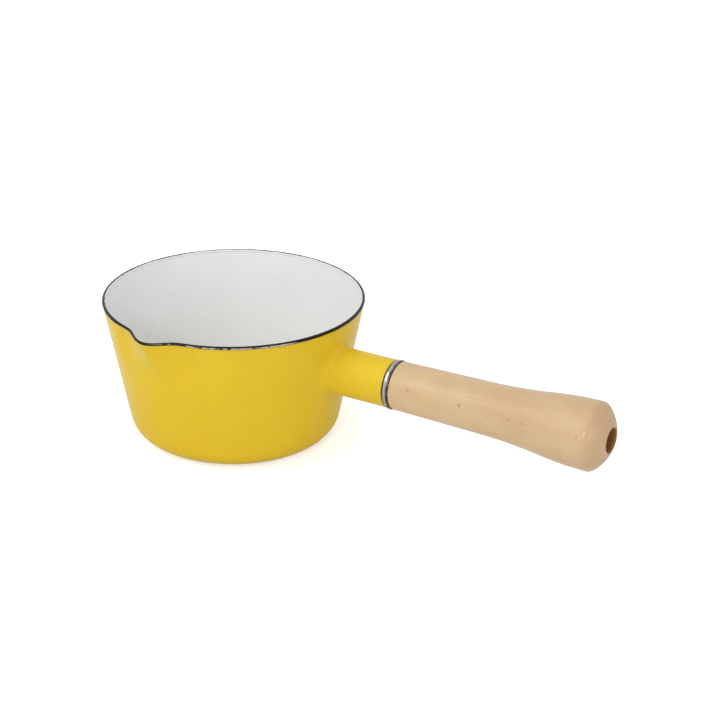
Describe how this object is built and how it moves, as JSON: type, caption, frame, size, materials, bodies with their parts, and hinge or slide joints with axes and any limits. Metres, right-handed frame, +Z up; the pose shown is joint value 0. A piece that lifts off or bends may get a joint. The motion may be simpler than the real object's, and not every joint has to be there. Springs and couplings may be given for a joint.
{
  "type": "candle melting pot",
  "caption": "Enamelled steel pouring pan with a side spout and a bolted turned wooden handle, for melting candle wax.",
  "frame": {"origin": "centre of the pan's flat base, on its resting face", "axes": "+Z up out of the pan, +X along the handle to its end, so the spout is at -Y"},
  "size_m": [0.3314, 0.1673, 0.0881],
  "materials": {
    "yellow_enamel": "glossy vitreous enamel",
    "white_enamel": "glossy vitreous enamel",
    "black_enamel": "glossy vitreous enamel",
    "plain_steel": "satin",
    "polished_steel": "polished",
    "beech": "smooth sanded and oiled"
  },
  "bodies": {
    "root": {"pan_shell": "yellow_enamel", "inner_lining": "white_enamel", "rim_bead": "black_enamel", "handle_socket": "yellow_enamel", "socket_weld": "yellow_enamel", "anchor_plate": "plain_steel", "anchor_nut": "plain_steel", "ferrule_ring": "polished_steel", "wood_handle": "beech", "handle_bolt": "plain_steel", "spring_washer": "plain_steel", "flat_washer": "plain_steel"}
  },
  "joints": []
}
